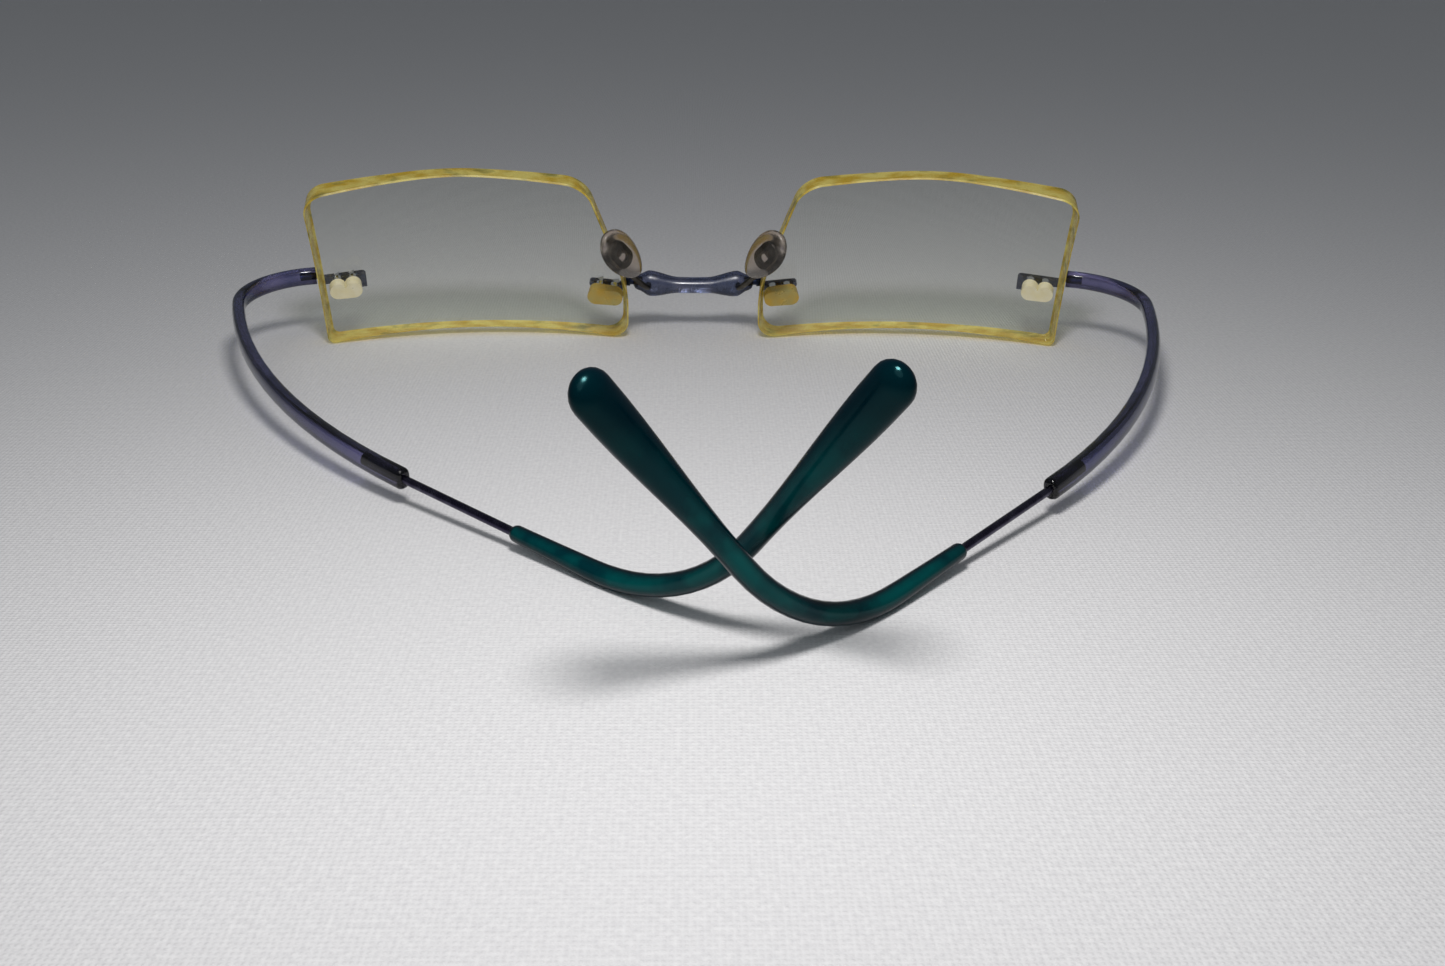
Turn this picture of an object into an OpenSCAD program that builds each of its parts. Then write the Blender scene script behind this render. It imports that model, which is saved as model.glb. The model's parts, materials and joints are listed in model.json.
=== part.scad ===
// Rimless hingeless spectacles, lying upside down with the temples at rest.
// +Z is up as they lie, +Y is the way the wearer looks, +X is the wearer's left.
// Left and right in the node names are the wearer's.

/* [Lenses] */
// Width of one lens
lens_w = 47; // [45:0.5:49]
// Height of one lens
lens_h = 27; // [26:0.1:28.5]
// Gap between the two lenses at the nose
nose_gap = 21; // [20.2:0.1:22]
// Thickness of a lens at its centre
lens_t = 1.9; // [1.7:0.1:2.2]
// Radius of the front surface of a lens
front_r = 120; // [110:5:130]
// Radius of the back surface of a lens
back_r = 70; // [67:1:75]
// Lean of the lenses towards the temples, in degrees
lens_lean = 19; // [16:0.5:20]
// Wrap of each lens round the face, in degrees
lens_wrap = 5.1; // [3:0.1:6]

/* [Clips] */
// Diameter of the holes through the lenses
hole_d = 1.5; // [1.4:0.05:1.6]
// Distance between the two holes of a clip
hole_pitch = 2.3; // [2.2:0.1:2.6]
// Distance of a temple clip's middle from the lens's temple edge
temple_clip_in = 3.6; // [3.3:0.1:4.4]
// Height of the temple clips over the brow edge
temple_clip_v = 9.4; // [8:0.1:11]
// Distance of a bridge clip's middle from the lens's nose edge
bridge_clip_in = 2.8; // [2.8:0.1:3.4]
// Height of the bridge clips over the brow edge
bridge_clip_v = 7.5; // [7:0.1:8.5]
// Thickness of the metal clip bars
bar_t = 0.9; // [0.8:0.1:1.1]
// Height of the metal clip bars
bar_h = 1.2; // [1.1:0.1:1.4]

/* [Bridge] */
// Thickness of the moulded bridge in its middle
bridge_d = 2.5; // [2.3:0.1:2.6]
// Height of the moulded bridge at its two lobes
lobe_h = 4.1; // [3.9:0.1:4.3]
// Distance between the two lobes
lobe_gap = 13.6; // [13.2:0.1:13.8]

/* [Temples] */
// Height of a bow's section
bow_h = 2.6; // [2.4:0.1:2.8]
// Thickness of a bow's section
bow_t = 1.8; // [1.7:0.1:2.1]
// Length of the tight curve beside the lens
bow_curve = 16.6; // [16:0.1:18]
// Radius of the long curve behind it
bow_r2 = 107.5; // [100:0.5:112]
// Turn of the long curve, in degrees
bow_turn2 = 34; // [33:0.5:36]
// Turn of the left bow's tight curve at rest, in degrees
left_turn = 83.5; // [82:0.5:86]
// Turn of the right bow's tight curve at rest, in degrees
right_turn = 90; // [89:0.5:92]
// Diameter of the temple wire
wire_d = 1; // [0.9:0.05:1.15]
// Length of bare wire between a bow and its ear tip
bare_wire = 18.2; // [16:0.1:20]
// Length of wire held inside a bow
wire_in_bow = 7.5; // [6:0.5:9]

/* [Ear tips] */
// Diameter of an ear tip's thin end
tip_d1 = 1.9; // [1.8:0.1:2.1]
// Diameter of an ear tip's tube at its bend
tip_d2 = 2.4; // [2.2:0.1:2.6]
// Straight length of an ear tip before its bend
tip_lead = 11.5; // [10:0.5:13]
// Radius of the bend behind the ear
tip_r = 24.5; // [23.5:0.5:25]
// Angle of the left tip's bend behind the ear, in degrees
left_bend = 57.5; // [56:0.5:60]
// Angle of the right tip's bend behind the ear, in degrees
right_bend = 55.5; // [54:0.5:58]
// Inward roll of the left tip's bend, in degrees
left_roll = 15; // [13:0.5:17]
// Inward roll of the right tip's bend, in degrees
right_roll = 4; // [2:0.5:6]
// Straight length of an ear tip after its bend
tip_end = 26; // [24:0.5:27]
// Width of the flat paddle at an ear tip's end
paddle_w = 4.4; // [4:0.1:4.8]
// Thickness of the flat paddle
paddle_t = 2.8; // [2.6:0.1:3]

/* [Nose pads] */
// Length of a nose pad
pad_l = 10.2; // [9.8:0.2:11]
// Width of a nose pad
pad_w = 5.8; // [5.6:0.1:6.4]
// Thickness of a nose pad
pad_t = 2.2; // [2.1:0.1:2.6]
// Lean of a nose pad towards the temples, in degrees
pad_lean = 39; // [37:1:41]
// Splay of a nose pad away from the nose, in degrees
pad_splay = 29; // [27:1:31]
// Turn of a nose pad towards the temples, in degrees
pad_turn = 33; // [30:1:36]
// Diameter of the pin that a nose pad rocks on
pad_pin_d = 0.9; // [0.8:0.05:1]

/* [Hidden] */

LEFT = 1;
RIGHT = -1;
gap = 0.03;             // clearance between pieces that are pushed together
run_gap = 0.05;         // radial clearance of a pin that turns
round_fn = 48;          // facets shown on small round pieces
dome_fn = 360;          // facets shown on the lens surfaces
lens_slab = 16;         // depth of the block that a lens is cut from
pin_d = 0.84;           // the clip pins
barrel_d = hole_d - 2*gap;
head_d = 2.5;           // height of a sleeve's head behind the lens
sleeve_stand = 1.9;     // how far a sleeve stands behind the lens
sleeve_cap = 0.4;       // thickness of a sleeve's closed back
bridge_wide = 0.3;      // how much further a bridge sleeve's head reaches, on each side
shank_d = 1.0;          // the clip ends that are moulded into a bow or the bridge
shank_l = 2.4;
bridge_shank_l = 1.7;
shank_root = 0.7;       // how far a shank runs back into its clip bar
bow_straight = 0.8;     // straight start of a bow, before its tight curve

// ---------- points and turns ----------

function turn_x(p, a) = [p.x, p.y*cos(a) - p.z*sin(a), p.y*sin(a) + p.z*cos(a)];
function turn_y(p, a) = [p.x*cos(a) + p.z*sin(a), p.y, p.z*cos(a) - p.x*sin(a)];
function turn_z(p, a) = [p.x*cos(a) - p.y*sin(a), p.x*sin(a) + p.y*cos(a), p.z];
function smooth(t) = let (c = min(1, max(0, t))) c*c*(3 - 2*c);
function mix(a, b, t) = a + (b - a)*t;

// A polygon whose corners [x, y, radius] are rounded by arcs
function corner_arc(a, b, c, steps) =
    let (
        pa = [a.x, a.y], pb = [b.x, b.y], pc = [c.x, c.y],
        u = (pa - pb)/norm(pa - pb),
        w = (pc - pb)/norm(pc - pb),
        half = acos(u*w)/2,
        mid = pb + (u + w)/norm(u + w)*b[2]/sin(half),
        from = pb + u*b[2]/tan(half) - mid,
        way = cross(-u, w) > 0 ? 1 : -1
    )
    [for (i = [0:steps])
        let (r = way*(180 - 2*half)*i/steps)
        mid + [from.x*cos(r) - from.y*sin(r), from.x*sin(r) + from.y*cos(r)]];
function rounded(corners, steps = 8) =
    let (n = len(corners))
    [for (i = [0:n - 1])
        each corner_arc(corners[(i + n - 1) % n], corners[i], corners[(i + 1) % n], steps)];

// A smooth solid through a list of rings, closed by a flat face at each end
module loft(rings) {
    sides = len(rings[0]);
    last = len(rings) - 1;
    points = [for (ring = rings) each ring];
    walls = [for (i = [0:last - 1], j = [0:sides - 1])
        let (k = (j + 1) % sides)
        [i*sides + j, i*sides + k, (i + 1)*sides + k, (i + 1)*sides + j]];
    first_end = [for (j = [sides - 1:-1:0]) j];
    last_end = [for (j = [0:sides - 1]) last*sides + j];
    polyhedron(points = points, faces = concat([first_end], walls, [last_end]), convexity = 6);
}

// A ring round p, with half axes a along u and b along v; power 1 is an ellipse, less is squarer
function ring(p, u, v, a, b, sides, power = 1) =
    [for (j = [0:sides - 1])
        let (t = 360*j/sides, c = cos(t), s = sin(t))
        p + u*a*sign(c)*pow(abs(c), power) + v*b*sign(s)*pow(abs(s), power)];

// ---------- lens ----------

lens_mid = [lens_w/2, lens_h/2];
apex = front_r - sqrt(pow(front_r, 2) - lens_mid*lens_mid);
brow_nose_r = 3;
brow_temple_r = 1.2;
lens_outline = rounded([
    [0, 0, brow_nose_r],
    [lens_w - 0.7, 0, brow_temple_r],
    [lens_w + 0.3, lens_h*0.94, 3.2],
    [lens_w*0.56, lens_h + 0.2, 70],
    [lens_w*0.135, lens_h*0.96, 5],
    [0, lens_h*0.3, 16]
]);

// Places in a lens's own frame: x along the brow edge from the nose, y forward, z from the brow edge
function front_y(u, v) =
    apex - front_r + sqrt(pow(front_r, 2) - pow(u - lens_mid.x, 2) - pow(v - lens_mid.y, 2));
function back_y(u, v) =
    apex - lens_t - back_r + sqrt(pow(back_r, 2) - pow(u - lens_mid.x, 2) - pow(v - lens_mid.y, 2));
lens_lift = max([for (p = lens_outline) -back_y(p.x, p.y)*sin(lens_lean) - p.y*cos(lens_lean)]);
function lens_point(p) = [nose_gap/2, 0, lens_lift] + turn_z(turn_x(p, lens_lean), -lens_wrap);
module lens_frame()
    translate([nose_gap/2, 0, lens_lift]) rotate([0, 0, -lens_wrap]) rotate([lens_lean, 0, 0]) children();

// Places in a clip's frame: on the lens's front surface, with y along the surface's normal
function clip_lon(u) = asin((u - lens_mid.x)/front_r);
function clip_lat(v) = asin((v - lens_mid.y)/front_r);
front_mid = [lens_mid.x, apex - front_r, lens_mid.y];
function clip_point(u, v, p) =
    lens_point(front_mid + turn_z(turn_x(p + [0, front_r, 0], clip_lat(v)), -clip_lon(u)));
module clip_frame(u, v)
    translate(front_mid) rotate([0, 0, -clip_lon(u)]) rotate([clip_lat(v), 0, 0])
        translate([0, front_r, 0]) children();

// Two rods along y through the places of a clip's pins
module pin_pair(d, from, to)
    for (x = [-hole_pitch/2, hole_pitch/2])
        translate([x, from, 0]) rotate([-90, 0, 0]) cylinder(d = d, h = to - from, $fn = round_fn);

temple_u = lens_w - temple_clip_in;
bridge_u = bridge_clip_in;

module lens_shape() {
    lens_frame() difference() {
        intersection() {
            translate([0, lens_slab/2, 0]) rotate([90, 0, 0])
                linear_extrude(height = lens_slab) polygon(lens_outline);
            translate(front_mid) sphere(r = front_r, $fn = dome_fn);
        }
        translate([lens_mid.x, apex - lens_t - back_r, lens_mid.y]) sphere(r = back_r, $fn = dome_fn);
        clip_frame(temple_u, temple_clip_v) pin_pair(hole_d, -lens_slab/2, lens_slab/4);
        clip_frame(bridge_u, bridge_clip_v) pin_pair(hole_d, -lens_slab/2, lens_slab/4);
    }
}

// Two rods joined by a block, which is low or as high as the rods
module sleeve_head(back, wide) {
    reach = hole_pitch/2 + wide;
    for (x = [-reach, reach])
        translate([x, back, 0]) rotate([-90, 0, 0]) cylinder(d = head_d, h = -back, $fn = round_fn);
    translate([-reach, back, -head_d/2]) cube([2*reach, -back, wide > 0 ? head_d : head_d/2]);
}

// A double-barrel bush: two tubes fill the lens's holes, and their joined heads rest on its back
module sleeve_shape(u, v, wide = 0) {
    lens_frame() difference() {
        union() {
            intersection() {
                clip_frame(u, v) sleeve_head(sleeve_back(u, v), wide);
                translate([lens_mid.x, apex - lens_t - back_r, lens_mid.y])
                    sphere(r = back_r - gap, $fn = dome_fn);
            }
            clip_frame(u, v) pin_pair(barrel_d, sleeve_back(u, v), 0);
        }
        clip_frame(u, v) pin_pair(pin_d + 2*gap, sleeve_back(u, v) + sleeve_cap, 1);
    }
}
// How far behind the front surface a sleeve ends
function sleeve_back(u, v) =
    -(lens_t + (pow(u - lens_mid.x, 2) + pow(v - lens_mid.y, 2))*(1/back_r - 1/front_r)/2) - sleeve_stand;

// ---------- clips and bridge ----------

bar_y = gap + bar_t/2;          // middle of a clip bar, in front of the lens
temple_end_x = temple_clip_in + 0.5;
bridge_end_x = bridge_clip_in + 0.8;
temple_start = clip_point(temple_u, temple_clip_v, [temple_end_x, bar_y, 0]);
bridge_start = clip_point(bridge_u, bridge_clip_v, [-bridge_end_x, bar_y, 0]);

// A bar from x0 to x1 with a rounded end at x0
module clip_bar(x0, x1) {
    translate([x0, gap, -bar_h/2]) cube([x1 - x0, bar_t, bar_h]);
    translate([x0, gap, 0]) rotate([-90, 0, 0]) cylinder(d = bar_h, h = bar_t, $fn = round_fn);
}

temple_tail = 1.4;      // how far a bar passes its inner pin
bridge_tail = 1.1;
bar_short = 0.3;        // how far a bar stops short of the moulding
pin_short = sleeve_cap + gap;   // how far a pin stops before its bush's back
hook_l = 1.9;           // how far the temple clip's inner end hooks towards the brow

module temple_clip_shape(s) {
    lens_frame() clip_frame(temple_u, temple_clip_v) {
        clip_bar(-hole_pitch/2 - temple_tail, temple_end_x - bar_short);
        translate([-hole_pitch/2 - temple_tail - bar_h/2, gap, -hook_l]) cube([bar_t, bar_t, hook_l]);
        pin_pair(pin_d, sleeve_back(temple_u, temple_clip_v) + pin_short, bar_y);
    }
    temple_frame(s) translate(-shank_root*way(start_turn)) rotate([0, 90, -start_turn])
        cylinder(d = shank_d, h = shank_l + shank_root, $fn = round_fn);
}

module bridge_clip_shape() {
    lens_frame() clip_frame(bridge_u, bridge_clip_v) {
        mirror([1, 0, 0]) clip_bar(-hole_pitch/2 - bridge_tail, bridge_end_x - bar_short);
        pin_pair(pin_d, sleeve_back(bridge_u, bridge_clip_v) + pin_short, bar_y);
    }
    translate(bridge_start + [shank_root, 0, 0]) rotate([0, -90, 0])
        cylinder(d = shank_d, h = bridge_shank_l + shank_root, $fn = round_fn);
}

bridge_half = bridge_start.x;
bridge_sides = 20;
bridge_steps = 44;
lobe_in = 4.6;          // how far a lobe's swelling runs towards the middle
lobe_out = 1.8;         // how far it runs towards the lens
lobe_deep = 0.15;       // how much deeper the bridge is at a lobe
bridge_sag = 0.6;       // how far the bridge's middle lies below its ends
neck_l = 1.1;           // length over which the bridge's ends round off
foot_d = 0.9;           // the pad arm's wire, also where it stands in a lobe
// How much of a lobe's swelling the bridge has at x
function swell(x) = let (d = abs(x) - lobe_gap/2) 1 - smooth(d > 0 ? d/lobe_out : -d/lobe_in);
function bridge_up(x) = mix(bridge_d/2, lobe_h/2, swell(x));
function bridge_deep(x) = mix(bridge_d/2, bridge_d/2 + lobe_deep, swell(x));
function neck(x) = sqrt(max(0.02, 1 - pow(max(0, abs(x) - bridge_half + neck_l)/(neck_l + gap), 2)));
function bridge_drop(x) = -bridge_sag*(1 - pow(x/bridge_half, 2));

module bridge_shape() {
    difference() {
        loft([for (i = [0:bridge_steps])
            let (x = bridge_half*(1 - 2*i/bridge_steps))
            ring([x, bridge_start.y, bridge_start.z + bridge_drop(x)],
                [0, 1, 0], [0, 0, 1], bridge_deep(x)*neck(x), bridge_up(x)*neck(x), bridge_sides)]);
        for (s = [LEFT, RIGHT]) mirror([s == RIGHT ? 1 : 0, 0, 0]) {
            translate([bridge_half - bridge_shank_l - gap, bridge_start.y, bridge_start.z]) rotate([0, 90, 0])
                cylinder(d = shank_d + 2*gap, h = bridge_shank_l + 1, $fn = round_fn);
            translate(arm_foot + [0, gap, 0]) rotate([90, 0, 0])
                cylinder(d = foot_d + 2*gap, h = 4, $fn = round_fn);
        }
    }
}

// ---------- nose pads ----------

pad_pos = [10.7, -11, 15];
pad_egg = 0.16;         // how much wider a pad is towards its upper end
pad_full = 0.6;         // how full a pad's rounded rim is, from 1, an ellipse, to 0, square
pad_close = 0.06;       // width of the flat at each end of a pad, as a share
eyelet_x = 2.2;         // how far the rocking pin lies behind a pad's middle
eyelet_d = 1.8;
eyelet_w = 1.3;
ear_t = 0.6;
ear_r = 0.85;           // rounded end of a core's ear, round the pin
pin_out = 0.1;          // how far the pin's ends stand out of the ears
core_l = 4.7;
core_w = 2.9;
core_t = 0.7;
core_proud = 0.15;      // how far a core stands proud of the pad's back
window_l = 2.6;         // the oval hole through the middle of a core
window_w = 1.3;
pad_sides = 24;
pad_steps = 24;

function pad_point(p) = pad_pos + turn_x(turn_y(turn_z(p, pad_turn), pad_splay), pad_lean);
module pad_frame()
    translate(pad_pos) rotate([pad_lean, 0, 0]) rotate([0, pad_splay, 0]) rotate([0, 0, pad_turn]) children();

// A rounded slot shape along z, standing from x0 to x1
module slot(l, w, x0, x1)
    translate([x0, 0, 0]) rotate([0, 90, 0]) {
        for (z = [-1, 1]) translate([z*(l - w)/2, 0, 0]) cylinder(d = w, h = x1 - x0, $fn = round_fn);
        translate([-(l - w)/2, -w/2, 0]) cube([l - w, w, x1 - x0]);
    }

core_back = pad_t/2 + core_proud;
cut = 1;                // how far a cutter passes the piece that it cuts
module nose_pad_shape() {
    // the pad is widest above its middle and thins to a rounded rim
    pad_frame() difference() {
        loft([for (i = [0:pad_steps])
            let (t = cos(180*i/pad_steps), r = max(pad_close, sqrt(1 - t*t)), egg = 1 + pad_egg*t)
            ring([0, 0, pad_l/2*t], [1, 0, 0], [0, 1, 0],
                pad_t/2*pow(r, pad_full), pad_w/2*r*egg, pad_sides)]);
        slot(core_l + 2*gap, core_w + 2*gap, core_back - core_t - gap, core_back + cut);
    }
}

// A rod across a pad, along y through the place of its rocking pin
module pin_rod(d, half)
    translate([eyelet_x, -half, 0]) rotate([-90, 0, 0]) cylinder(d = d, h = 2*half, $fn = round_fn);

ear_in = eyelet_w/2 + gap;      // the ears' inner faces
ear_out = ear_in + ear_t;

// An oval ring with two ears that hold the pin
module pad_core_shape() {
    pad_frame() difference() {
        union() {
            difference() {
                slot(core_l, core_w, core_back - core_t, core_back);
                slot(window_l, window_w, core_back - core_t - cut, core_back + cut);
            }
            for (y = [ear_in, -ear_out]) {
                translate([core_back - core_t/2, y, -ear_r])
                    cube([eyelet_x - core_back + core_t/2, ear_t, 2*ear_r]);
                translate([eyelet_x, y, 0]) rotate([-90, 0, 0])
                    cylinder(r = ear_r, h = ear_t, $fn = round_fn);
            }
        }
        pin_rod(pad_pin_d + 2*gap, ear_out + cut);
    }
}

module pad_pin_shape() {
    pad_frame() pin_rod(pad_pin_d, ear_out + pin_out);
}

// The arm stands straight out of the back of a lobe, then curves up to the eyelet between the ears
arm_foot = [lobe_gap/2 + 0.2, bridge_start.y, bridge_start.z - 0.5];
foot_l = bridge_d/2 + lobe_deep + 0.15;
arm_root = arm_foot - [0, foot_l, 0];
arm_end = pad_point([eyelet_x + 0.55, 0, -0.3]);
arm_steps = 22;
arm_sides = 12;
arm_out = [0, -2.6, 0];                                     // the curve's two handles
arm_in = pad_point([0.8, 0, -4.5]) - pad_pos;
function bezier(a, b, c, d, t) =
    a*pow(1 - t, 3) + 3*b*t*pow(1 - t, 2) + 3*c*t*t*(1 - t) + d*pow(t, 3);
function arm_at(t) = bezier(arm_root, arm_root + arm_out, arm_end + arm_in, arm_end, t);
// The arm's section at t, moved forward by a length
function arm_ring(t, forward = 0) =
    let (
        way = arm_at(t + 0.01) - arm_at(t - 0.01),
        z = way/norm(way),
        flat = cross([1, 0.2, 0], z),
        v = flat/norm(flat)
    )
    ring(arm_at(t) + [0, forward, 0], cross(v, z), v, foot_d/2, foot_d/2, arm_sides);

module pad_arm_shape() {
    difference() {
        union() {
            loft(concat([for (i = [arm_steps:-1:0]) arm_ring(i/arm_steps)], [arm_ring(0, foot_l)]));
            pad_frame() pin_rod(eyelet_d, eyelet_w/2);
        }
        pad_frame() pin_rod(pad_pin_d + 2*run_gap, eyelet_w/2 + cut);
    }
}

// ---------- temples ----------

// A temple lies in a plane that slopes down to the ear tip. Its path starts where the clip ends and
// turns inward: straight, tight curve, long curve, straight, then the bend behind the ear.
start_turn = lens_wrap + clip_lon(temple_u);
function turn_of(s) = s == LEFT ? left_turn : right_turn;
function bend_of(s) = s == LEFT ? left_bend : right_bend;
function roll_of(s) = s == LEFT ? left_roll : right_roll;

// Lengths along the temple of side s, from the clip
function arc_l(radius, angle) = radius*angle*PI/180;
function curve_r(s) = bow_curve/arc_l(1, turn_of(s));
curve_end = bow_straight + bow_curve;
bow_end = curve_end + arc_l(bow_r2, bow_turn2);
tip_start = bow_end + bare_wire;
bend_start = tip_start + tip_lead;
function bend_end(s) = bend_start + arc_l(tip_r, bend_of(s));
function tip_stop(s) = bend_end(s) + tip_end;

// The temple slopes so that the ear tip, at its bend, just clears the table
function slope_of(s) = asin((temple_start.z - tip_d2/2 - gap)/-flat_at(bend_start, s)[0].y);
module temple_frame(s) translate(temple_start) rotate([slope_of(s), 0, 0]) children();
function temple_point(p, s) = temple_start + turn_x(p, slope_of(s));

function way(a) = [cos(a), -sin(a), 0];
// From a to b round a curve of radius r
function curve_step(a, b, r) = r*[sin(b) - sin(a), cos(b) - cos(a), 0];

// The place and heading at length l along the temple of side s, before the bend
function flat_at(l, s) =
    let (
        a0 = start_turn,
        a1 = a0 + turn_of(s),
        t1 = min(turn_of(s), max(0, (l - bow_straight)/arc_l(curve_r(s), 1))),
        t2 = min(bow_turn2, max(0, (l - curve_end)/arc_l(bow_r2, 1)))
    )
    [
        way(a0)*min(l, bow_straight)
            + curve_step(a0, a0 + t1, curve_r(s))
            + curve_step(a1, a1 + t2, bow_r2)
            + way(a1 + t2)*max(0, l - bow_end),
        a0 + t1 + t2
    ];

// The place at length l, with the directions along the temple, up out of it and across it
function path_at(l, s) =
    let (
        flat = flat_at(min(l, bend_start), s),
        ahead = way(flat[1]),
        rise = [0, 0, cos(roll_of(s))] - cross([0, 0, 1], ahead)*sin(roll_of(s)),
        a = min(bend_of(s), max(0, (l - bend_start)/arc_l(tip_r, 1))),
        along = ahead*cos(a) + rise*sin(a),
        up = rise*cos(a) - ahead*sin(a),
        bend = tip_r*(ahead*sin(a) + rise*(1 - cos(a)))
    )
    [flat[0] + bend + along*max(0, l - bend_end(s)), along, up, cross(up, along)];
function temple_ring(l, s, up, deep, sides, power = 1) =
    let (at = path_at(l, s))
    ring(at[0], at[3], at[2], deep, up, sides, power);

function spaced(from, to, count) = [for (i = [0:count]) from + (to - from)*i/count];
function reversed(list) = [for (i = [len(list) - 1:-1:0]) list[i]];

bow_sides = 24;
bow_square = 0.72;
bow_round = 0.55;       // rounding of a bow's rear end
bow_drawn = 0.42;       // how much smaller that end is
held_steps = 4;         // steps along the wire inside a bow
function bow_size(l) =
    let (t = max(0, l - bow_end + bow_round)/bow_round)
    1 - bow_drawn*(1 - sqrt(max(0, 1 - t*t)));

module bow_shape(s) {
    ahead = way(start_turn);
    shank = [for (l = [shank_l + gap, 0])
        ring(ahead*l, cross([0, 0, 1], ahead), [0, 0, 1], shank_d/2 + gap, shank_d/2 + gap, bow_sides)];
    skin_l = concat(
        [0],
        spaced(bow_straight, curve_end, 18),
        spaced(curve_end + 3, bow_end - bow_round, 14),
        [for (a = [30:30:90]) bow_end - bow_round + bow_round*sin(a)]
    );
    skin = [for (l = skin_l)
        temple_ring(l, s, bow_h/2*bow_size(l), bow_t/2*bow_size(l), bow_sides, bow_square)];
    socket = [for (l = spaced(bow_end, bow_end - wire_in_bow - gap, held_steps))
        temple_ring(l, s, wire_d/2 + gap, wire_d/2 + gap, bow_sides)];
    temple_frame(s) loft(reversed(concat(shank, skin, socket)));
}

wire_sides = 24;
wire_short = 16;        // how far the wire stops before an ear tip's end
module wire_shape(s) {
    bend_step = (bend_end(s) - bend_start)/12;
    wire_l = concat(
        spaced(bow_end - wire_in_bow, bow_end, held_steps),
        spaced(tip_start, bend_start, 1),
        spaced(bend_start + bend_step, bend_end(s), 11),
        [tip_stop(s) - wire_short]
    );
    temple_frame(s) loft(reversed([for (l = wire_l) temple_ring(l, s, wire_d/2, wire_d/2, wire_sides)]));
}

tip_sides = 24;
lip_l = 0.5;            // rounded start of an ear tip
paddle_from = 24;       // where the paddle starts to swell, before the end
module tip_shape(s) {
    from = tip_start;
    stop = tip_stop(s);
    bend_step = (bend_end(s) - bend_start)/12;
    dome = paddle_w/2;
    bore_l = concat(
        [stop - wire_short + gap],
        spaced(bend_end(s), bend_start + bend_step, 11),
        [bend_start, from]
    );
    bore = [for (l = bore_l) temple_ring(l, s, wire_d/2 + gap, wire_d/2 + gap, tip_sides)];
    skin_l = concat(
        [for (a = [0:30:90]) from + lip_l*(1 - cos(a))],
        spaced(from + 2.5, bend_start, 2),
        spaced(bend_start + bend_step, bend_end(s), 11),
        spaced(bend_end(s) + 2.5, stop - dome, 8),
        [for (a = [15:15:75]) stop - dome + dome*sin(a)],
        [stop - gap]
    );
    skin = [for (l = skin_l)
        let (
            lip = mix(0.82, 1, sin(90*min(1, (l - from)/lip_l))),
            tube = mix(tip_d1, tip_d2, smooth((l - from)/(tip_lead + 4)))/2*lip,
            swelling = smooth((l - stop + paddle_from)/(paddle_from - 3)),
            cap = sqrt(max(0.0006, 1 - pow(max(0, l - stop + dome)/dome, 2)))
        )
        temple_ring(l, s, mix(tube, paddle_w/2, swelling)*cap, mix(tube, paddle_t/2, swelling)*cap, tip_sides)];
    temple_frame(s) loft(reversed(concat(bore, skin)));
}

// ---------- the whole ----------

// The origin lies under the middle of the whole outline
back_edge = min([for (s = [LEFT, RIGHT], l = spaced(bend_end(s), tip_stop(s), 8))
    temple_point(path_at(l, s)[0], s).y]) - tip_d2/2;
front_edge = max([for (p = lens_outline) lens_point([p.x, front_y(p.x, p.y), p.y]).y]);
module stand(s)
    translate([0, -(front_edge + back_edge)/2, 0]) mirror([s == RIGHT ? 1 : 0, 0, 0]) children();

module lens(s) stand(s) color([0.86, 0.88, 0.72, 0.4]) lens_shape();
module bridge() stand(LEFT) color("slateblue") bridge_shape();
module bridge_clip(s) stand(s) color("midnightblue") bridge_clip_shape();
module temple_clip(s) stand(s) color("midnightblue") temple_clip_shape(s);
module bridge_sleeve(s) stand(s) color("goldenrod") sleeve_shape(bridge_u, bridge_clip_v, bridge_wide);
module temple_sleeve(s) stand(s) color("cornsilk") sleeve_shape(temple_u, temple_clip_v);
module pad_arm(s) stand(s) color("dimgray") pad_arm_shape();
module pad_core(s) stand(s) color("darkslategray") pad_core_shape();
module pad_pin(s) stand(s) color("silver") pad_pin_shape();
module nose_pad(s) stand(s) color("mistyrose") nose_pad_shape();
module bow(s) stand(s) color("slateblue") bow_shape(s);
module temple_wire(s) stand(s) color("darkslateblue") wire_shape(s);
module ear_tip(s) stand(s) color("teal") tip_shape(s);

lens(LEFT);  // lens_left
lens(RIGHT);  // lens_right
bridge();
bridge_clip(LEFT);  // bridge_clip_left
bridge_clip(RIGHT);  // bridge_clip_right
bridge_sleeve(LEFT);  // bridge_sleeve_left
bridge_sleeve(RIGHT);  // bridge_sleeve_right
temple_clip(LEFT);  // temple_clip_left
temple_clip(RIGHT);  // temple_clip_right
temple_sleeve(LEFT);  // temple_sleeve_left
temple_sleeve(RIGHT);  // temple_sleeve_right
pad_arm(LEFT);  // pad_arm_left
pad_arm(RIGHT);  // pad_arm_right
pad_core(LEFT);  // pad_core_left
pad_core(RIGHT);  // pad_core_right
pad_pin(LEFT);  // pad_pin_left
pad_pin(RIGHT);  // pad_pin_right
nose_pad(LEFT);  // nose_pad_left
nose_pad(RIGHT);  // nose_pad_right
bow(LEFT);  // bow_left
bow(RIGHT);  // bow_right
temple_wire(LEFT);  // temple_wire_left
temple_wire(RIGHT);  // temple_wire_right
ear_tip(LEFT);  // ear_tip_left
ear_tip(RIGHT);  // ear_tip_right
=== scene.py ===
import json
import math

import bmesh
import bpy
from mathutils import Matrix, Vector, geometry
from mathutils.bvhtree import BVHTree


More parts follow.
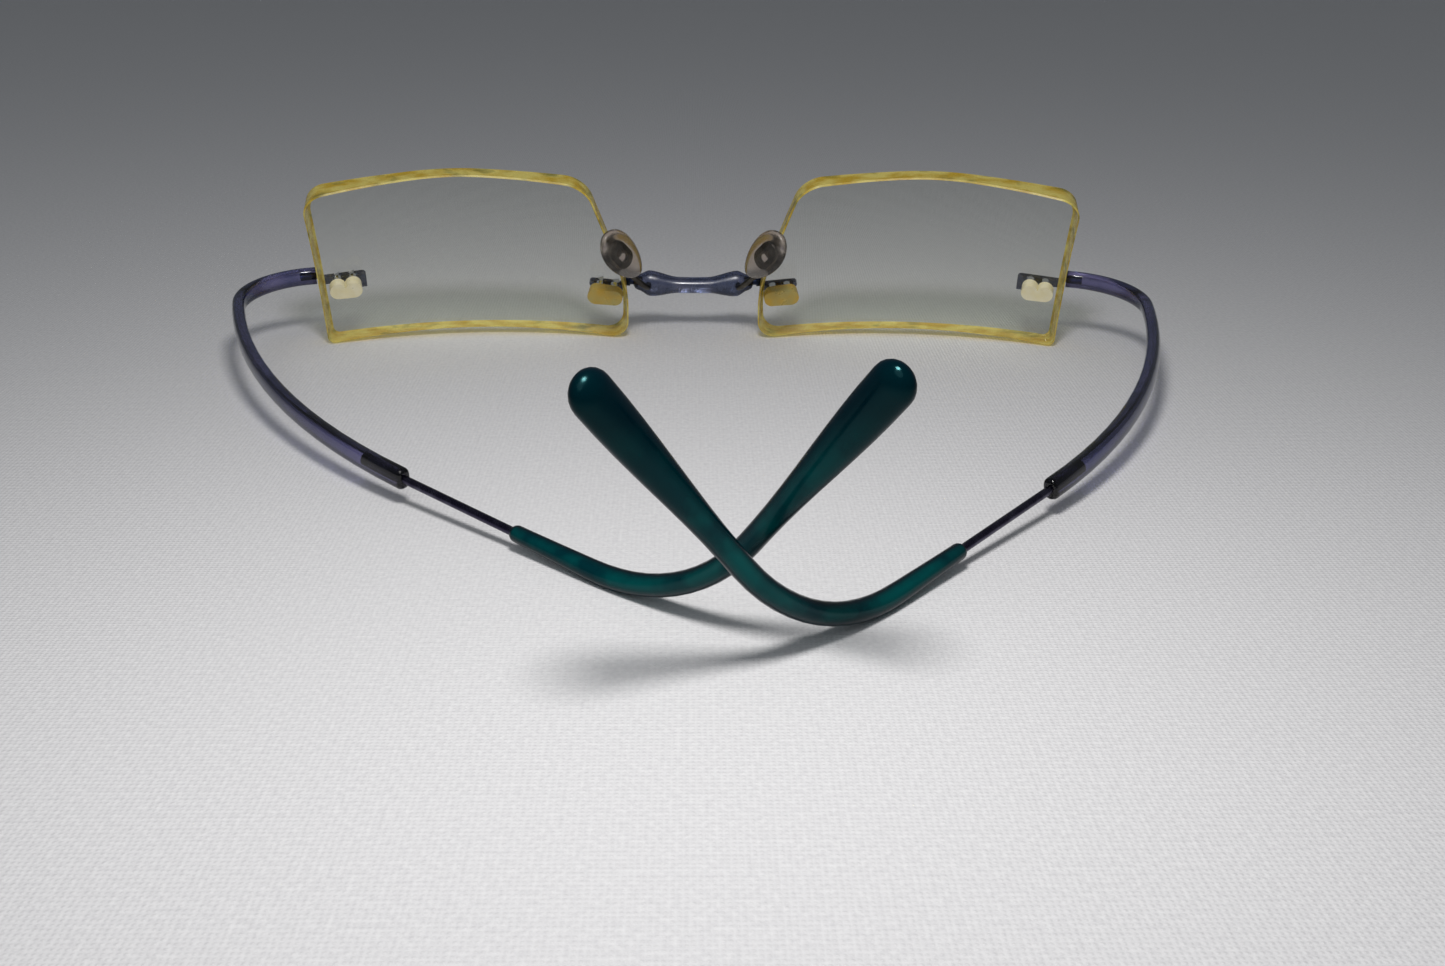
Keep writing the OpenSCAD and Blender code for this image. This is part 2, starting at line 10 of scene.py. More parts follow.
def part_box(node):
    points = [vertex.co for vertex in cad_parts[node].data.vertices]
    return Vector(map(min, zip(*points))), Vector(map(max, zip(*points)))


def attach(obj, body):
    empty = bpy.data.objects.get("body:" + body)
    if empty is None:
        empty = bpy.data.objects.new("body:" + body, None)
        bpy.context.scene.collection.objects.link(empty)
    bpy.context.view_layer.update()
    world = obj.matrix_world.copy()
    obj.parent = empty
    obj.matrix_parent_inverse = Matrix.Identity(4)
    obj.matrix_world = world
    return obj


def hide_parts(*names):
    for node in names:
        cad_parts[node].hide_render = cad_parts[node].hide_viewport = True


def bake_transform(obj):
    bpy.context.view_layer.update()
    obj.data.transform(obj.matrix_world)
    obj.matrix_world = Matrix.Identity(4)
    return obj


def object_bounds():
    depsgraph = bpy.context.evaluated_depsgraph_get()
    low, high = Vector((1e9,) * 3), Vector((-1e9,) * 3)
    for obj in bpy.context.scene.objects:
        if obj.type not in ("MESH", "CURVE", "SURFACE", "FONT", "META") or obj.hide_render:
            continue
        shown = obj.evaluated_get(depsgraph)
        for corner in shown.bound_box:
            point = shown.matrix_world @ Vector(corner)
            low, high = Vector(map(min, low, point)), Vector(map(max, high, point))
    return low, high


# Rimless spectacles with moulded bows, lying upside down on a pale cloth. Lengths are in metres.
# Left and right are the wearer's, as in the CAD nodes' names.

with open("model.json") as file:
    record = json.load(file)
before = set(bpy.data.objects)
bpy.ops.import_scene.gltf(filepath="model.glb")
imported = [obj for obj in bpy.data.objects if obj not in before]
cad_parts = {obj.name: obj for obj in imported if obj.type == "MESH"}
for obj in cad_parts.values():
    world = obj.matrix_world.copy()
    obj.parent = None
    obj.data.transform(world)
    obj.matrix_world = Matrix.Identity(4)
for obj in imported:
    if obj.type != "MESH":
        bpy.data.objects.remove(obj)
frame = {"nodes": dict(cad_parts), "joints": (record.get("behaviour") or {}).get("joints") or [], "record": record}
cad_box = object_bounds()
record = frame["record"]
mounts = {m["name"]: m for m in record["mounts"]}
joints = {j["name"]: j for j in frame["joints"]}
body_of_node = {n: b for b, members in record["behaviour"]["bodies"].items() for n in members}

MM = 0.001
SIDES = {"left": 1, "right": -1}

# ---------- node trees ----------


class Shader:
    """A material made of procedural nodes. An input is a number, a colour or another node's output."""

    def __init__(self, name):
        self.material = bpy.data.materials.new(name)
        self.material.use_nodes = True
        self.tree = self.material.node_tree
        self.tree.nodes.clear()
        self.place = self.add("ShaderNodeTexCoord").outputs["Object"]

    def add(self, kind, inputs=None, **settings):
        node = self.tree.nodes.new(kind)
        for key, value in settings.items():
            setattr(node, key, value)
        for key, value in (inputs or {}).items():
            if isinstance(value, bpy.types.NodeSocket):
                self.tree.links.new(value, node.inputs[key])
            else:
                node.inputs[key].default_value = value
        return node

    def noise(self, size, detail=3.0, stretch=(1, 1, 1), offset=0.0):
        """Smooth noise from 0 to 1, with features of that size in metres, stretched along the axes."""
        place = self.add(
            "ShaderNodeMapping",
            {"Vector": self.place, "Location": (offset,) * 3, "Scale": [1 / (size * s) for s in stretch]},
        ).outputs[0]
        return self.add(
            "ShaderNodeTexNoise", {"Vector": place, "Scale": 1.0, "Detail": detail}
        ).outputs["Fac"]

    def spread(self, value, low, high, start=0.3, stop=0.7):
        """Maps a value in start..stop to low..high."""
        return self.add(
            "ShaderNodeMapRange", {0: value, 1: start, 2: stop, 3: low, 4: high}
        ).outputs[0]

    def blend(self, share, first, second):
        """A mix of two colours."""
        node = self.add("ShaderNodeMix", data_type="RGBA")
        for socket, value in ((node.inputs[0], share), (node.inputs[6], first), (node.inputs[7], second)):
            if isinstance(value, bpy.types.NodeSocket):
                self.tree.links.new(value, socket)
            else:
                socket.default_value = value if isinstance(value, float) else (*value, 1)
        return node.outputs[2]

    def mix(self, share, first, second):
        """A mix of two shaders."""
        return self.add("ShaderNodeMixShader", {0: share, 1: first, 2: second}).outputs[0]

    def bump(self, height, depth):
        """A normal for a height from 0 to 1 that stands for that depth in metres."""
        return self.add("ShaderNodeBump", {"Height": height, "Distance": depth, "Strength": 1.0}).outputs[0]

    def light_shadow(self, surface, tint):
        """Lets that share of the light through to the shadow, where a clear solid would block it."""
        rays = self.add("ShaderNodeLightPath").outputs["Is Shadow Ray"]
        clear = self.add("ShaderNodeBsdfTransparent", {"Color": (*tint, 1)}).outputs[0]
        return self.mix(rays, surface, clear)

    def done(self, surface):
        output = self.add("ShaderNodeOutputMaterial")
        self.tree.links.new(surface, output.inputs["Surface"])
        return self.material


def clear_plastic(name, first, second, patch, roughness, ior, shadow, rim=None, clear=1.0):
    """A glossy see-through moulding whose tint drifts between two colours in patches of that size,
    and, where a rim colour is given, darkens to it where it is seen edge-on: painted shade standing in for the
    dark room seen reflected and bent at its edges."""
    s = Shader(name)
    tint = s.blend(s.spread(s.noise(patch, 3), 0.0, 1.0), first, second)
    if rim is not None:
        # painted shade: edge-on surfaces are darkened towards the rim colour
        facing = s.add("ShaderNodeLayerWeight", {"Blend": 0.5}).outputs["Facing"]
        tint = s.blend(s.spread(facing, 0.0, 1.0, 0.15, 0.7), tint, rim)
    haze = s.spread(s.noise(patch * 0.4, 4, offset=3), roughness * 0.6, roughness * 1.5)
    surface = s.add(
        "ShaderNodeBsdfPrincipled",
        {
            "Base Color": tint,
            "Roughness": haze,
            "IOR": ior,
            "Transmission Weight": clear,
            "Normal": s.bump(s.noise(0.9 * MM, 2), 0.004 * MM),
        },
    ).outputs[0]
    return s.done(s.light_shadow(surface, shadow))


# Painted light and shade: below the first height an ear tip is painted teal, as if lit through from the cloth
# beneath; above the second it is near black.
TIP_LIT_BELOW = 13 * MM     # heights between which an ear tip turns from teal to near black
TIP_SHADED_ABOVE = 27 * MM


def tip_plastic():
    """Dark teal plastic, painted teal low down and near black higher up: painted light standing in for the cloth's
    light let through the tube, fading with height, with painted shade on its edge-on surfaces.
    """
    s = Shader("tip_plastic")
    height = s.add("ShaderNodeSeparateXYZ", {0: s.place}).outputs["Z"]
    facing = s.add("ShaderNodeLayerWeight", {"Blend": 0.5}).outputs["Facing"]
    streak = s.spread(s.noise(5 * MM, 3), 0.0, 1.0, 0.38, 0.62)
    lit_teal = s.blend(streak, (0.0, 0.125, 0.12), (0.0, 0.04, 0.05))
    # painted shade: the tip's colour fades to near black with height above the cloth
    depth = s.spread(height, 0.0, 1.0, TIP_LIT_BELOW, TIP_SHADED_ABOVE)
    middle = s.blend(depth, lit_teal, (0.0, 0.011, 0.016))
    # painted shade: edge-on surfaces are darkened towards near black
    tint = s.blend(s.spread(facing, 0.0, 1.0, 0.12, 0.6), middle, (0.0, 0.006, 0.012))
    surface = s.add(
        "ShaderNodeBsdfPrincipled",
        {
            "Base Color": tint,
            "Roughness": s.spread(s.noise(2 * MM, 4, offset=3), 0.10, 0.26),
            "IOR": 1.5,
            "Transmission Weight": 0.25,
            "Specular IOR Level": 0.09,
            "Specular Tint": (0.20, 0.75, 0.78, 1.0),
            "Coat Weight": 0.03,
            "Coat Roughness": 0.06,
            "Normal": s.bump(s.noise(0.9 * MM, 2), 0.004 * MM),
        },
    ).outputs[0]
    return s.done(s.light_shadow(surface, (0.03, 0.06, 0.07)))


def metal(name, first, second, roughness, grain, stretch=(1, 1, 1), depth=0.002 * MM):
    """A metal with fine grain, and a coating that wears from one colour to another."""
    s = Shader(name)
    worn = s.spread(s.noise(1.6 * MM, 5, offset=1), 0.0, 1.0, 0.42, 0.66)
    lines = s.noise(grain, 4, stretch)
    surface = s.add(
        "ShaderNodeBsdfPrincipled",
        {
            "Base Color": s.blend(worn, first, second),
            "Metallic": 1.0,
            "Roughness": s.spread(lines, roughness * 0.7, roughness * 1.4),
            "Normal": s.bump(lines, depth),
        },
    ).outputs[0]
    return s.done(surface)


def lens_glass():
    """Clear lens with a faint grey-green tint and a trace of haze from handling."""
    s = Shader("lens_glass")
    smudge = s.spread(s.noise(5 * MM, 5), 0.0, 0.035, 0.45, 0.8)
    tint = s.blend(s.noise(14 * MM, 2), (0.915, 0.93, 0.885), (0.935, 0.945, 0.91))
    surface = s.add(
        "ShaderNodeBsdfPrincipled",
        {"Base Color": tint, "Roughness": smudge, "IOR": 1.56, "Transmission Weight": 1.0},
    ).outputs[0]
    return s.done(s.light_shadow(surface, (0.56, 0.59, 0.53)))


def lens_edge():
    """Ground edge, painted bright yellow: painted light standing in for light gathered inside the lens and glowing
    at its edge, mottled amber and olive.
    """
    s = Shader("lens_edge")
    mottle = s.spread(s.noise(1.7 * MM, 4, (2.2, 1, 1)), 0.0, 1.0, 0.40, 0.62)
    # painted light: the bright yellow and amber stand in for light piped through the lens to its edge
    piped_glow = s.blend(mottle, (0.97, 0.82, 0.22), (0.74, 0.50, 0.04))
    olive = s.spread(s.noise(2.6 * MM, 3, (1.8, 1, 1), offset=5), 0.0, 0.85, 0.54, 0.70)
    tint = s.blend(olive, piped_glow, (0.26, 0.25, 0.05))
    grain = s.noise(0.25 * MM, 3)
    ground = s.add(
        "ShaderNodeBsdfPrincipled",
        {
            "Base Color": tint,
            "Roughness": s.spread(grain, 0.16, 0.38),
            "IOR": 1.56,
            "Coat Weight": 0.8,
            "Coat Roughness": 0.10,
            "Normal": s.bump(grain, 0.01 * MM),
        },
    ).outputs[0]
    lit = s.add("ShaderNodeBsdfTranslucent", {"Color": tint}).outputs[0]
    return s.done(s.light_shadow(s.mix(0.45, ground, lit), (0.45, 0.42, 0.25)))


def cloth():
    """Pale cotton cloth with a fine weave and mottled fibres."""
    s = Shader("floor_cloth")
    threads = [
        s.add(
            "ShaderNodeTexWave",
            {"Vector": s.place, "Scale": 620.0, "Distortion": 1.2, "Detail": 2.0, "Detail Scale": 1.5},
            bands_direction=axis,
        ).outputs["Fac"]
        for axis in ("X", "Y")
    ]
    weave = s.add("ShaderNodeMath", {0: threads[0], 1: threads[1]}, operation="MULTIPLY").outputs[0]
    fibre = s.noise(0.6 * MM, 6)
    tone = s.blend(s.spread(fibre, 0.0, 1.0), (0.72, 0.71, 0.72), (0.82, 0.81, 0.815))
    height = s.add("ShaderNodeMath", {0: weave, 1: fibre}, operation="ADD").outputs[0]
    surface = s.add(
        "ShaderNodeBsdfPrincipled",
        {
            "Base Color": tone,
            "Roughness": 0.95,
            "Specular IOR Level": 0.15,
            "Sheen Weight": 0.1,
            "Normal": s.bump(height, 0.06 * MM),
        },
    ).outputs[0]
    return s.done(surface)


# The rim colours of the bow, bridge and pad are painted shade on their edge-on surfaces.
looks = {
    "lens_glass": lens_glass(),
    "lens_edge": lens_edge(),
    "bow": clear_plastic(
        "bow_plastic", (0.30, 0.27, 0.52), (0.13, 0.14, 0.33), 5 * MM, 0.10, 1.47,
        (0.13, 0.13, 0.16), rim=(0.006, 0.01, 0.04),
    ),
    "bridge": clear_plastic(
        "bridge_plastic", (0.19, 0.20, 0.30), (0.08, 0.11, 0.22), 3 * MM, 0.22, 1.47,
        (0.13, 0.13, 0.15), rim=(0.008, 0.015, 0.05),
    ),
    "tip": tip_plastic(),
    "amber": clear_plastic(
        "amber_bush", (0.62, 0.40, 0.05), (0.48, 0.43, 0.16), 2.2 * MM, 0.35, 1.5,
        (0.45, 0.38, 0.2), clear=0.35,
    ),
    "cream": clear_plastic(
        "cream_bush", (0.84, 0.76, 0.47), (0.90, 0.85, 0.64), 1.4 * MM, 0.45, 1.5,
        (0.5, 0.46, 0.36), clear=0.2,
    ),
    "pad": clear_plastic(
        "pad_silicone", (0.80, 0.72, 0.63), (0.70, 0.58, 0.50), 2.5 * MM, 0.16, 1.41,
        (0.35, 0.33, 0.30), rim=(0.42, 0.34, 0.29),
    ),
    "clip": metal("clip_metal", (0.02, 0.03, 0.075), (0.045, 0.06, 0.12), 0.34, 0.12 * MM),
    "wire": metal("wire_metal", (0.035, 0.03, 0.06), (0.075, 0.07, 0.11), 0.26, 0.08 * MM),
    "arm": metal("arm_metal", (0.06, 0.055, 0.05), (0.13, 0.12, 0.10), 0.32, 0.10 * MM),
    "core": metal("core_metal", (0.07, 0.072, 0.072), (0.15, 0.148, 0.14), 0.40, 0.10 * MM),
    "pin": metal("pin_metal", (0.50, 0.49, 0.47), (0.62, 0.61, 0.60), 0.25, 0.10 * MM),
}

# ---------- pieces made from the CAD solids ----------

WELD = 0.001 * MM            # corners closer than this are one corner
POCKET_ACROSS = 1.3 * MM     # the widest pocket for a shank or a wire, measured across
RECESS_ACROSS = 7 * MM       # the widest recess for a pad's ring
SOFT_EDGE = 0.1 * MM         # width of the rounding on metal edges
FLAT_ANGLE = 1               # degrees between two faces that make one flat face


def link(name, mesh):
    """A new object in the scene."""
    piece = bpy.data.objects.new(name, mesh)
    bpy.context.scene.collection.objects.link(piece)
    return piece


def keep_largest(bm):
    """Leaves only the shell that has the most faces."""
    left = set(bm.faces)
    shells = []
    while left:
        shell, edge = set(), [left.pop()]
        while edge:
            face = edge.pop()
            shell.add(face)
            near = {f for e in face.edges for f in e.link_faces} & left
            left -= near
            edge.extend(near)
        shells.append(shell)
    shells.sort(key=len)
    bmesh.ops.delete(bm, geom=[f for shell in shells[:-1] for f in shell], context="FACES")


def fill_hollows(bm, reach):
    """Takes away the walls that face each other across less than reach, and closes the mouths, so
    that what a moulding holds lies in solid plastic."""
    tree = BVHTree.FromBMesh(bm)
    start = 0.005 * MM
    inner = []
    for face in bm.faces:
        centre = face.calc_center_median()
        if tree.ray_cast(centre + face.normal * start, face.normal, reach)[0] is not None:
            inner.append(face)
    bmesh.ops.delete(bm, geom=inner, context="FACES")
    keep_largest(bm)
    bmesh.ops.holes_fill(bm, edges=[e for e in bm.edges if e.is_boundary], sides=0)
    bmesh.ops.recalc_face_normals(bm, faces=bm.faces)


def piece_from(node, name, look, hollow_reach=None, tidy_angle=None, smooth_angle=35):
    """A smooth-shaded piece in a CAD node's exact shape, which stands for that node."""
    bm = bmesh.new()
    bm.from_mesh(frame["nodes"][node].data)
    bmesh.ops.remove_doubles(bm, verts=bm.verts, dist=WELD)
    if tidy_angle is not None:
        bmesh.ops.dissolve_limit(
            bm, angle_limit=math.radians(tidy_angle), verts=bm.verts, edges=bm.edges
        )
    if hollow_reach is not None:
        fill_hollows(bm, hollow_reach)
    mesh = bpy.data.meshes.new(name)
    bm.to_mesh(mesh)
    bm.free()
    mesh.polygons.foreach_set("use_smooth", [True] * len(mesh.polygons))
    mesh.set_sharp_from_angle(angle=math.radians(smooth_angle))
    mesh.materials.append(looks[look])
    piece = link(name, mesh)
    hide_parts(node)
    return piece


def rides(piece, node):
    """Puts a piece on the body that carries the CAD node."""
    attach(piece, body_of_node[node])
    return piece


def soft_edges(piece, width):
    """Rounds a piece's sharp edges."""
    bevel = piece.modifiers.new("soft_edges", "BEVEL")
    bevel.width = width
    bevel.segments = 3
    bevel.limit_method = "ANGLE"
    bevel.angle_limit = math.radians(40)
    bevel.harden_normals = False
    return piece


# ---------- lenses ----------

LENS_W = 47 * MM
LENS_H = 27 * MM
LENS_T = 1.9 * MM
FRONT_R = 120 * MM
BACK_R = 70 * MM
EDGE_BEVEL = 0.22 * MM
HOLE_R = 0.75 * MM
HOLE_PITCH = 2.3 * MM
CLIPS = ((LENS_W - 3.6 * MM, 9.4 * MM), (2.8 * MM, 7.5 * MM))    # the two clips' places, in u and v
GRID = 1.1 * MM         # spacing of the points on a lens surface
HOLE_SIDES = 36
ARC_STEPS = 14

# Corners in u, from the nose, and v, from the brow edge, each with its radius
CORNERS = (
    (0, 0, 3 * MM),
    (LENS_W - 0.7 * MM, 0, 1.2 * MM),
    (LENS_W + 0.3 * MM, LENS_H * 0.94, 3.2 * MM),
    (LENS_W * 0.56, LENS_H + 0.2 * MM, 70 * MM),
    (LENS_W * 0.135, LENS_H * 0.96, 5 * MM),
    (0, LENS_H * 0.3, 16 * MM),
)
MID = Vector((LENS_W / 2, LENS_H / 2))
APEX = FRONT_R - math.sqrt(FRONT_R**2 - MID.length_squared)
FRONT_CENTRE = Vector((MID.x, APEX - FRONT_R, MID.y))
BACK_CENTRE = Vector((MID.x, APEX - LENS_T - BACK_R, MID.y))


def surface_y(u, v, centre, radius):
    """How far forward a lens surface lies at a place on the lens."""
    return centre.y + math.sqrt(radius**2 - (u - centre.x) ** 2 - (v - centre.z) ** 2)


def front_y(u, v):
    return surface_y(u, v, FRONT_CENTRE, FRONT_R)


def back_y(u, v):
    return surface_y(u, v, BACK_CENTRE, BACK_R)


def corner_arc(before, corner, after):
    """Points and outward directions round one corner."""
    here, radius = Vector(corner[:2]), corner[2]
    u = (Vector(before[:2]) - here).normalized()
    w = (Vector(after[:2]) - here).normalized()
    half = u.angle(w) / 2
    centre = here + (u + w).normalized() * radius / math.sin(half)
    first = here + u * radius / math.tan(half) - centre
    sweep = math.pi - 2 * half
    steps = max(ARC_STEPS, math.ceil(radius * sweep / GRID))
    out = []
    for i in range(steps + 1):
        ray = Matrix.Rotation(sweep * i / steps, 2) @ first
        out.append((centre + ray, ray.normalized()))
    return out


def lens_outline():
    """Points and outward directions round the lens, with the straight stretches cut up too."""
    count = len(CORNERS)
    arcs = [corner_arc(CORNERS[i - 1], CORNERS[i], CORNERS[(i + 1) % count]) for i in range(count)]
    out = []
    for i, arc in enumerate(arcs):
        out.extend(arc)
        (a, normal), (b, _) = arc[-1], arcs[(i + 1) % count][0]
        cuts = int((b - a).length / GRID)
        out.extend((a.lerp(b, k / (cuts + 1)), normal) for k in range(1, cuts + 1))
    return out


def hole_lines():
    """Each hole's middle on the front surface, with the turn of its clip's frame."""
    for u, v in CLIPS:
        lon = math.asin((u - MID.x) / FRONT_R)
        lat = math.asin((v - MID.y) / FRONT_R)
        turn = Matrix.Rotation(-lon, 3, "Z") @ Matrix.Rotation(lat, 3, "X")
        for side in (-1, 1):
            yield FRONT_CENTRE + turn @ Vector((side * HOLE_PITCH / 2, FRONT_R, 0)), turn


def hole_rings(centre, radius):
    """Each hole's rim where it comes out of a spherical surface."""
    rings = []
    for point, turn in hole_lines():
        ring = []
        for k in range(HOLE_SIDES):
            a = 2 * math.pi * k / HOLE_SIDES
            start = point + turn @ Vector((HOLE_R * math.cos(a), 0, HOLE_R * math.sin(a)))
            stop = start + turn @ Vector((0, 1, 0))
            hits = geometry.intersect_line_sphere(start, stop, centre, radius, False)
            ring.append(max((h for h in hits if h is not None), key=lambda h: h.y))
        rings.append(ring)
    return rings


def lens_face(bm, rim, centre, radius, material):
    """One polished surface inside the rim, with its holes."""
    rings = hole_rings(centre, radius)
    middles = [sum((Vector((p.x, p.z)) for p in ring), Vector((0, 0))) / HOLE_SIDES for ring in rings]
    points, edges = [], []
    for loop in [rim] + [[Vector((p.x, p.z)) for p in ring] for ring in rings]:
        first = len(points)
        points.extend(loop)
        edges.extend((first + i, first + (i + 1) % len(loop)) for i in range(len(loop)))
    columns, rows = int(LENS_W / GRID) + 2, int(LENS_H / GRID) + 2
    for i in range(columns):
        for j in range(rows):
            p = Vector((i * GRID, (j + 0.5 * (i % 2)) * GRID))
            inside = min((p - q).length for q in rim) > GRID * 0.45 and in_loop(p, rim)
            if inside and min((p - m).length for m in middles) > HOLE_R * 1.35:
                points.append(p)
    made, _, triangles, *_ = geometry.delaunay_2d_cdt(points, edges, [], 0, 1e-7)
    verts = [bm.verts.new((p.x, surface_y(p.x, p.y, centre, radius), p.y)) for p in made]
    for triangle in triangles:
        centroid = sum((made[k] for k in triangle), Vector((0, 0))) / 3
        if in_loop(centroid, rim) and min((centroid - m).length for m in middles) > HOLE_R * 0.98:
            bm.faces.new([verts[k] for k in triangle]).material_index = material


def in_loop(p, loop):
    """Whether a point lies inside a closed outline."""
    inside = False
    for i, a in enumerate(loop):
        b = loop[i - 1]
        if (a.y > p.y) != (b.y > p.y) and p.x < (b.x - a.x) * (p.y - a.y) / (b.y - a.y) + a.x:
            inside = not inside
    return inside


def wall(bm, loops, material):
    """Quads between closed loops of 3-D points."""
    rows = [[bm.verts.new(p) for p in loop] for loop in loops]
    for upper, lower in zip(rows, rows[1:]):
        for i in range(len(upper)):
            bm.faces.new((upper[i - 1], upper[i], lower[i], lower[i - 1])).material_index = material


def lens_mesh():
    """A drilled lens in its own frame: u along x, forward along y, v along z."""
    outline = lens_outline()
    rim = [p - n * EDGE_BEVEL for p, n in outline]
    bm = bmesh.new()
    lens_face(bm, rim, FRONT_CENTRE, FRONT_R, 0)
    lens_face(bm, rim, BACK_CENTRE, BACK_R, 0)
    for front, back in zip(hole_rings(FRONT_CENTRE, FRONT_R), hole_rings(BACK_CENTRE, BACK_R)):
        wall(bm, [front, [f.lerp(b, 0.5) for f, b in zip(front, back)], back], 0)
    edge = []
    for share in (0, 1 / 3, 2 / 3, 1):
        loop = []
        for p, _ in outline:
            high, low = front_y(p.x, p.y) - EDGE_BEVEL, back_y(p.x, p.y) + EDGE_BEVEL
            loop.append((p.x, high + (low - high) * share, p.y))
        edge.append(loop)
    front_rim = [(p.x, front_y(p.x, p.y), p.y) for p in rim]
    back_rim = [(p.x, back_y(p.x, p.y), p.y) for p in rim]
    wall(bm, [front_rim, *edge, back_rim], 1)
    bmesh.ops.remove_doubles(bm, verts=bm.verts, dist=2 * WELD)
    bmesh.ops.recalc_face_normals(bm, faces=bm.faces)
    return bm


def lens(side):
    """A lens where the brow-edge mount says that it stands."""
    mirror = Matrix.Scale(SIDES[side], 4, (1, 0, 0))
    mount = mounts[f"brow_edge_{side}"]
    up = -Vector(mount["axis"])
    up.x *= SIDES[side]
    lean = math.acos(up.z)
    wrap = math.atan2(-up.x, -up.y)
    turn = Matrix.Rotation(-wrap, 4, "Z") @ Matrix.Rotation(lean, 4, "X")
    seat = Vector((MID.x, (front_y(MID.x, 0) + back_y(MID.x, 0)) / 2, 0))
    place = mirror @ Vector(mount["pos_m"]) - turn @ seat
    bm = lens_mesh()
    bm.transform(mirror @ Matrix.Translation(place) @ turn)
    bmesh.ops.recalc_face_normals(bm, faces=bm.faces)
    mesh = bpy.data.meshes.new(f"lens_glass_{side}")
    bm.to_mesh(mesh)
    bm.free()
    mesh.polygons.foreach_set("use_smooth", [True] * len(mesh.polygons))
    mesh.set_sharp_from_angle(angle=math.radians(25))
    for look in ("lens_glass", "lens_edge"):
        mesh.materials.append(looks[look])
    piece = link(f"lens_glass_{side}", mesh)
    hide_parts(f"lens_{side}")
    return rides(piece, f"lens_{side}")


# ---------- bows ----------

BOW_TURN = {"left": math.radians(83.5), "right": math.radians(90)}
BOW_START = 1.0 * MM    # how far a bow's first point lies behind its foremost one


def bow(side):
    """The moulded bow, which in the real frames bends in its tight curve as the temple opens; here it keeps the
    CAD node's shape and stays in place.
    """
    node = f"bow_{side}"
    piece = piece_from(node, f"bow_moulding_{side}", "bow", hollow_reach=POCKET_ACROSS)
    pivot = Vector(joints[f"{side}_temple_flex"]["pos_m"])
    lens_low, lens_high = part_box(f"lens_{side}")
    lens_end = lens_high.x if side == "left" else lens_low.x
    start = Vector((lens_end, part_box(node)[1].y - BOW_START, pivot.z))
    chord = Matrix.Rotation(-SIDES[side] * BOW_TURN[side] / 4, 3, "Z") @ (pivot - start)
    chord.normalize()
    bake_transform(piece)
    return piece


# ---------- the other pieces ----------


PAD_VOXEL = 0.16 * MM


def nose_pad(side):
    """A soft clear pad, its surface evened out as moulded silicone is."""
    node = f"nose_pad_{side}"
    piece = piece_from(node, f"nose_pad_gel_{side}", "pad", hollow_reach=RECESS_ACROSS)
    remesh = piece.modifiers.new("even", "REMESH")
    remesh.mode = "VOXEL"
    remesh.voxel_size = PAD_VOXEL
    remesh.use_smooth_shade = True
    smooth = piece.modifiers.new("soften", "SMOOTH")
    smooth.factor = 0.5
    smooth.iterations = 6
    return rides(piece, node)


for side in SIDES:
    lens(side)
rides(piece_from("bridge", "bridge_moulding", "bridge", hollow_reach=POCKET_ACROSS), "bridge")
for side in SIDES:
    bow(side)
    nose_pad(side)
    for node, name, look, reach in (
        ("ear_tip", "ear_tip_moulding", "tip", POCKET_ACROSS),
        ("temple_wire", "temple_wire_drawn", "wire", None),
        ("pad_arm", "pad_arm_bent", "arm", None),
    ):
        rides(piece_from(f"{node}_{side}", f"{name}_{side}", look, hollow_reach=reach), f"{node}_{side}")
    for node, name, look in (
        ("temple_clip", "temple_clip_bar", "clip"),
        ("bridge_clip", "bridge_clip_bar", "clip"),
        ("pad_core", "pad_core_ring", "core"),
    ):
        piece = piece_from(f"{node}_{side}", f"{name}_{side}", look, tidy_angle=FLAT_ANGLE)
        rides(soft_edges(piece, SOFT_EDGE), f"{node}_{side}")
    for node, look in (("bridge_sleeve", "amber"), ("temple_sleeve", "cream"), ("pad_pin", "pin")):
        mesh = frame["nodes"][f"{node}_{side}"].data
        mesh.materials.clear()
        mesh.materials.append(looks[look])

# ---------- floor, lights and camera ----------

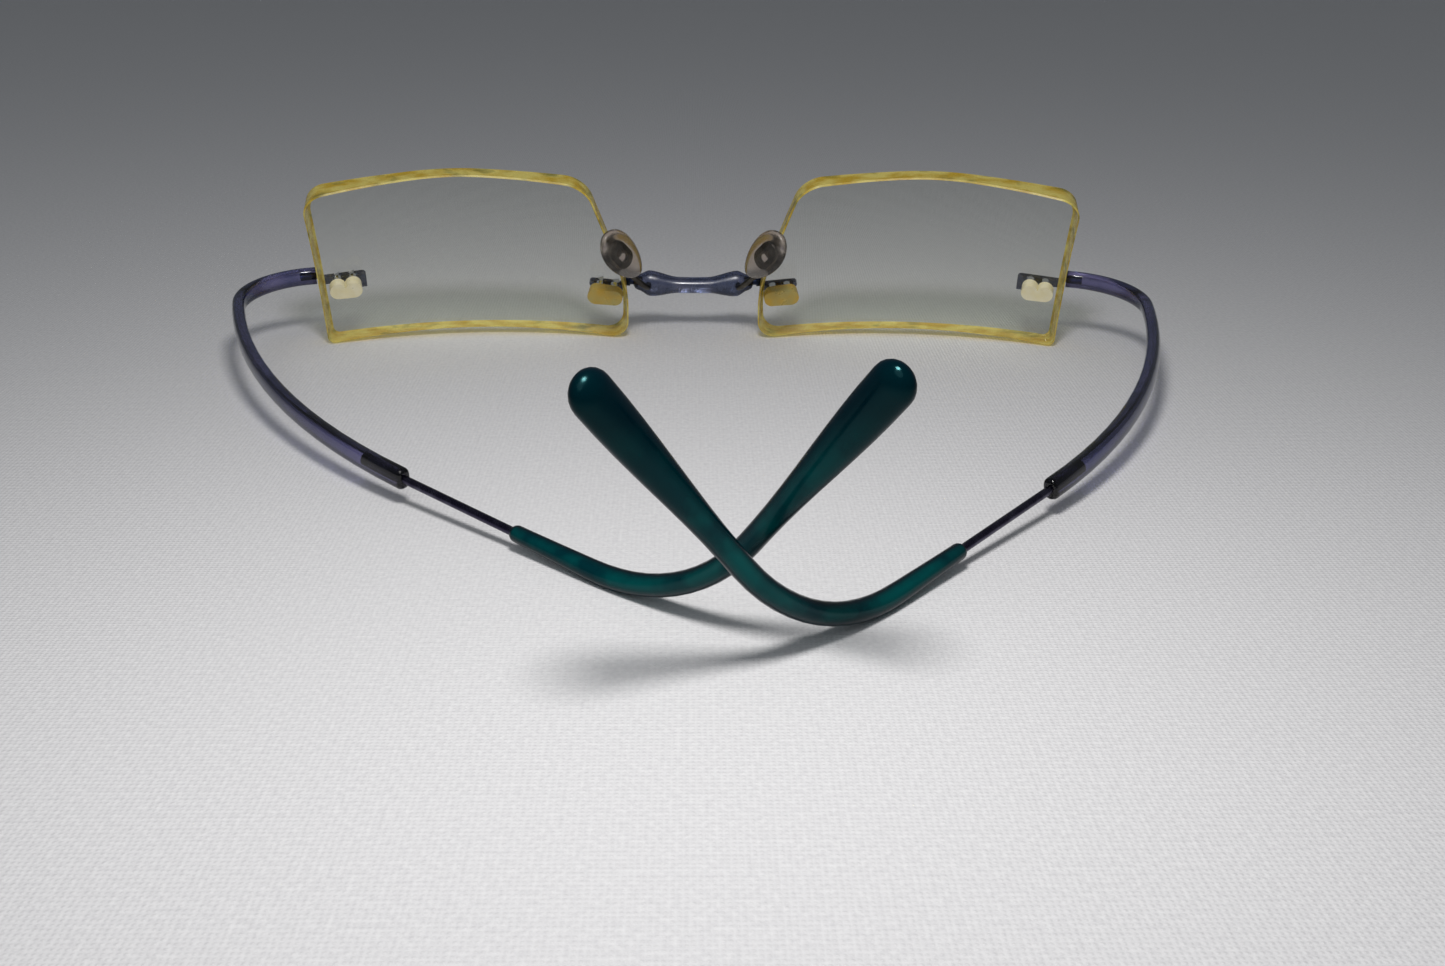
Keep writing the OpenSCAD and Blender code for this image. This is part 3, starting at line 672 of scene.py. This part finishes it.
FLOOR_HALF = 2.5
FLOOR_GAP = 0.02 * MM
floor_mesh = bpy.data.meshes.new("floor")
corners = [(x * FLOOR_HALF, y * FLOOR_HALF, 0) for x, y in ((-1, -1), (1, -1), (1, 1), (-1, 1))]
floor_mesh.from_pydata(corners, [], [(0, 1, 2, 3)])
floor_mesh.materials.append(cloth())
floor = link("floor", floor_mesh)
floor.location.z = cad_box[0].z - FLOOR_GAP


def area_light(name, place, target, size, power, colour):
    """A soft round lamp that points at its target."""
    data = bpy.data.lights.new(name, "AREA")
    data.shape = "DISK"
    data.size = size
    data.energy = power
    data.color = colour
    lamp = bpy.data.objects.new(name, data)
    lamp.location = place
    lamp.rotation_euler = (Vector(target) - Vector(place)).to_track_quat("-Z", "Y").to_euler()
    bpy.context.scene.collection.objects.link(lamp)


# A small key light over the ear tips, and a wide fill from behind the wearer
KEY_PLACE = Vector((0, -88, 135)) * MM
KEY_TARGET = Vector((0, 0, 0))
FILL_PLACE = Vector((-120, -450, 500)) * MM
middle = (cad_box[0] + cad_box[1]) / 2
area_light("key", KEY_PLACE, KEY_TARGET, size=35 * MM, power=0.175, colour=(1.0, 0.99, 0.98))
area_light("fill", FILL_PLACE, middle, size=400 * MM, power=0.55, colour=(0.95, 0.97, 1.0))

world = bpy.data.worlds.new("room")
world.use_nodes = True
background = world.node_tree.nodes["Background"]
background.inputs["Color"].default_value = (0.75, 0.8, 0.85, 1)
background.inputs["Strength"].default_value = 0.165
bpy.context.scene.world = world

VIEW_FROM = Vector((-0.65, -170.98, 67.03)) * MM
PAN = math.radians(1.387)
TILT = math.radians(21.899)
ROLL = math.radians(0.597)
LENS_MM = 37.32

camera_data = bpy.data.cameras.new("camera")
camera_data.lens = LENS_MM
camera_data.sensor_width = 36
camera_data.clip_start = 0.005
camera = bpy.data.objects.new("camera", camera_data)
ahead = Vector((math.sin(PAN) * math.cos(TILT), math.cos(PAN) * math.cos(TILT), -math.sin(TILT)))
level = Vector((math.cos(PAN), -math.sin(PAN), 0))
upright = level.cross(ahead)
right = level * math.cos(ROLL) + upright * math.sin(ROLL)
up = right.cross(ahead)
camera.matrix_world = Matrix.Translation(VIEW_FROM) @ Matrix((right, up, -ahead)).transposed().to_4x4()
bpy.context.scene.collection.objects.link(camera)
bpy.context.scene.camera = camera
bpy.context.scene.view_settings.view_transform = "Standard"
